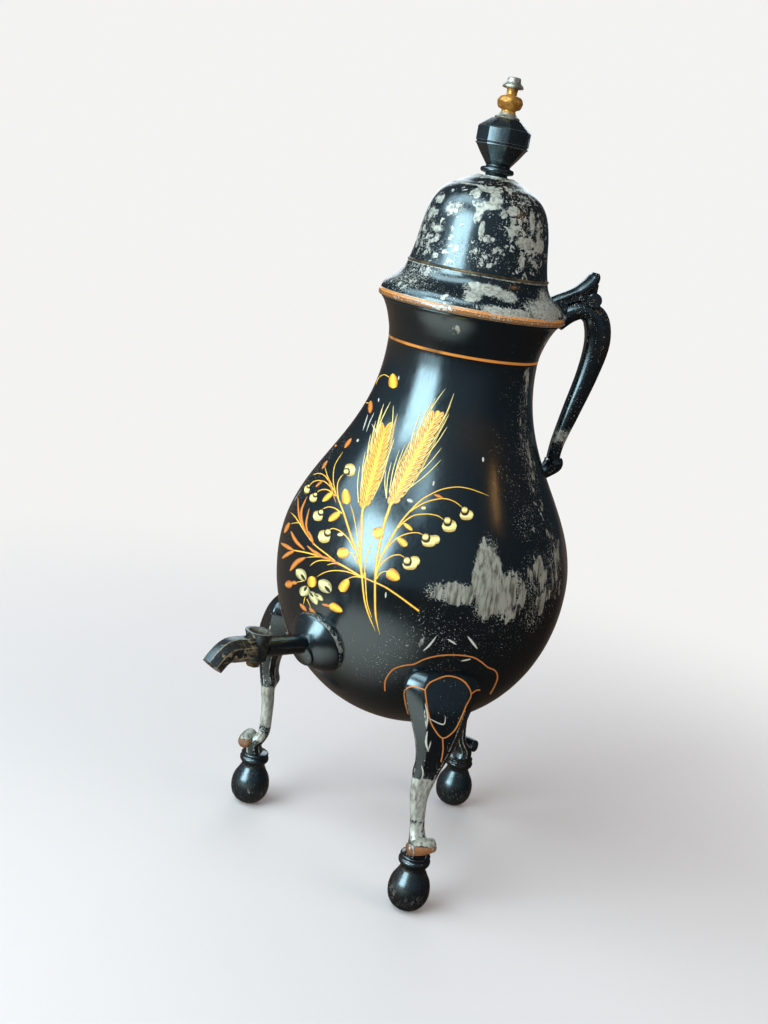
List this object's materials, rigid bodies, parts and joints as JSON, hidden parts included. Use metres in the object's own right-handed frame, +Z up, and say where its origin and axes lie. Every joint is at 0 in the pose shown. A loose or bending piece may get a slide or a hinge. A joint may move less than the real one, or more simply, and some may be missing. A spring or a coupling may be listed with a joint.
{
  "type": "coffee urn",
  "caption": "Pear-shaped pewter coffee urn on three cabriole legs with ball feet, with a plug tap low on the front, a scroll handle, and a hinged domed lid with a turned finial.",
  "frame": {"origin": "on the table, under the middle of the box round the whole urn; the urn's turning axis stands 32.1 mm behind it", "axes": "+Z up along the body, -Y the way the tap points, +X to the right seen from the tap"},
  "size_m": [0.1686, 0.249, 0.4498],
  "materials": {
    "black_lacquer": "black lacquer over pewter, half gloss, chipped in places, with painted ornament",
    "worn_lacquer": "black lacquer worn through to grey pewter on its edges",
    "bare_pewter": "bare pewter, dull, finely scratched",
    "dark_brass": "old brass, browned, bright on its edges",
    "gilded_brass": "gilded, rubbed",
    "black_wood": "turned wood, black lacquer, satin"
  },
  "bodies": {
    "urn": {"lower_bowl": "black_lacquer", "upper_body": "black_lacquer", "neck_rim": "black_lacquer", "leg_left": "worn_lacquer", "leg_right": "worn_lacquer", "leg_back": "worn_lacquer", "foot_ring_left": "worn_lacquer", "foot_ring_right": "worn_lacquer", "foot_ring_back": "worn_lacquer", "foot_ball_left": "black_wood", "foot_ball_right": "black_wood", "foot_ball_back": "black_wood", "tap_rosette": "black_lacquer", "tap_tube": "black_lacquer", "tap_barrel": "dark_brass", "tap_outlet": "dark_brass", "tap_spout": "dark_brass", "handle": "black_lacquer", "handle_foot": "black_lacquer", "hinge_pin": "dark_brass"},
    "lid": {"lid_flange": "worn_lacquer", "lid_collar": "bare_pewter", "lid_dome": "worn_lacquer", "finial_spool": "black_lacquer", "finial_knob": "black_wood", "finial_ferrule": "bare_pewter", "finial_bead": "gilded_brass", "finial_cap": "bare_pewter", "finial_stud": "bare_pewter", "finial_nut": "bare_pewter", "thumbpiece": "black_lacquer"},
    "plug": {"tap_plug": "bare_pewter", "tap_washer": "dark_brass", "tap_nut": "dark_brass"}
  },
  "joints": [
    {"name": "lid_hinge", "type": "hinge", "parent": "urn", "child": "lid", "pos_m": [0.04307, 0.08345, 0.3415], "axis": [-0.766, 0.6428, 0], "range_deg": [0, 90]},
    {"name": "tap_turn", "type": "hinge", "parent": "urn", "child": "plug", "pos_m": [0, -0.09091, 0.14161], "axis": [0, 0.0785, 0.9969], "continuous": true}
  ]
}
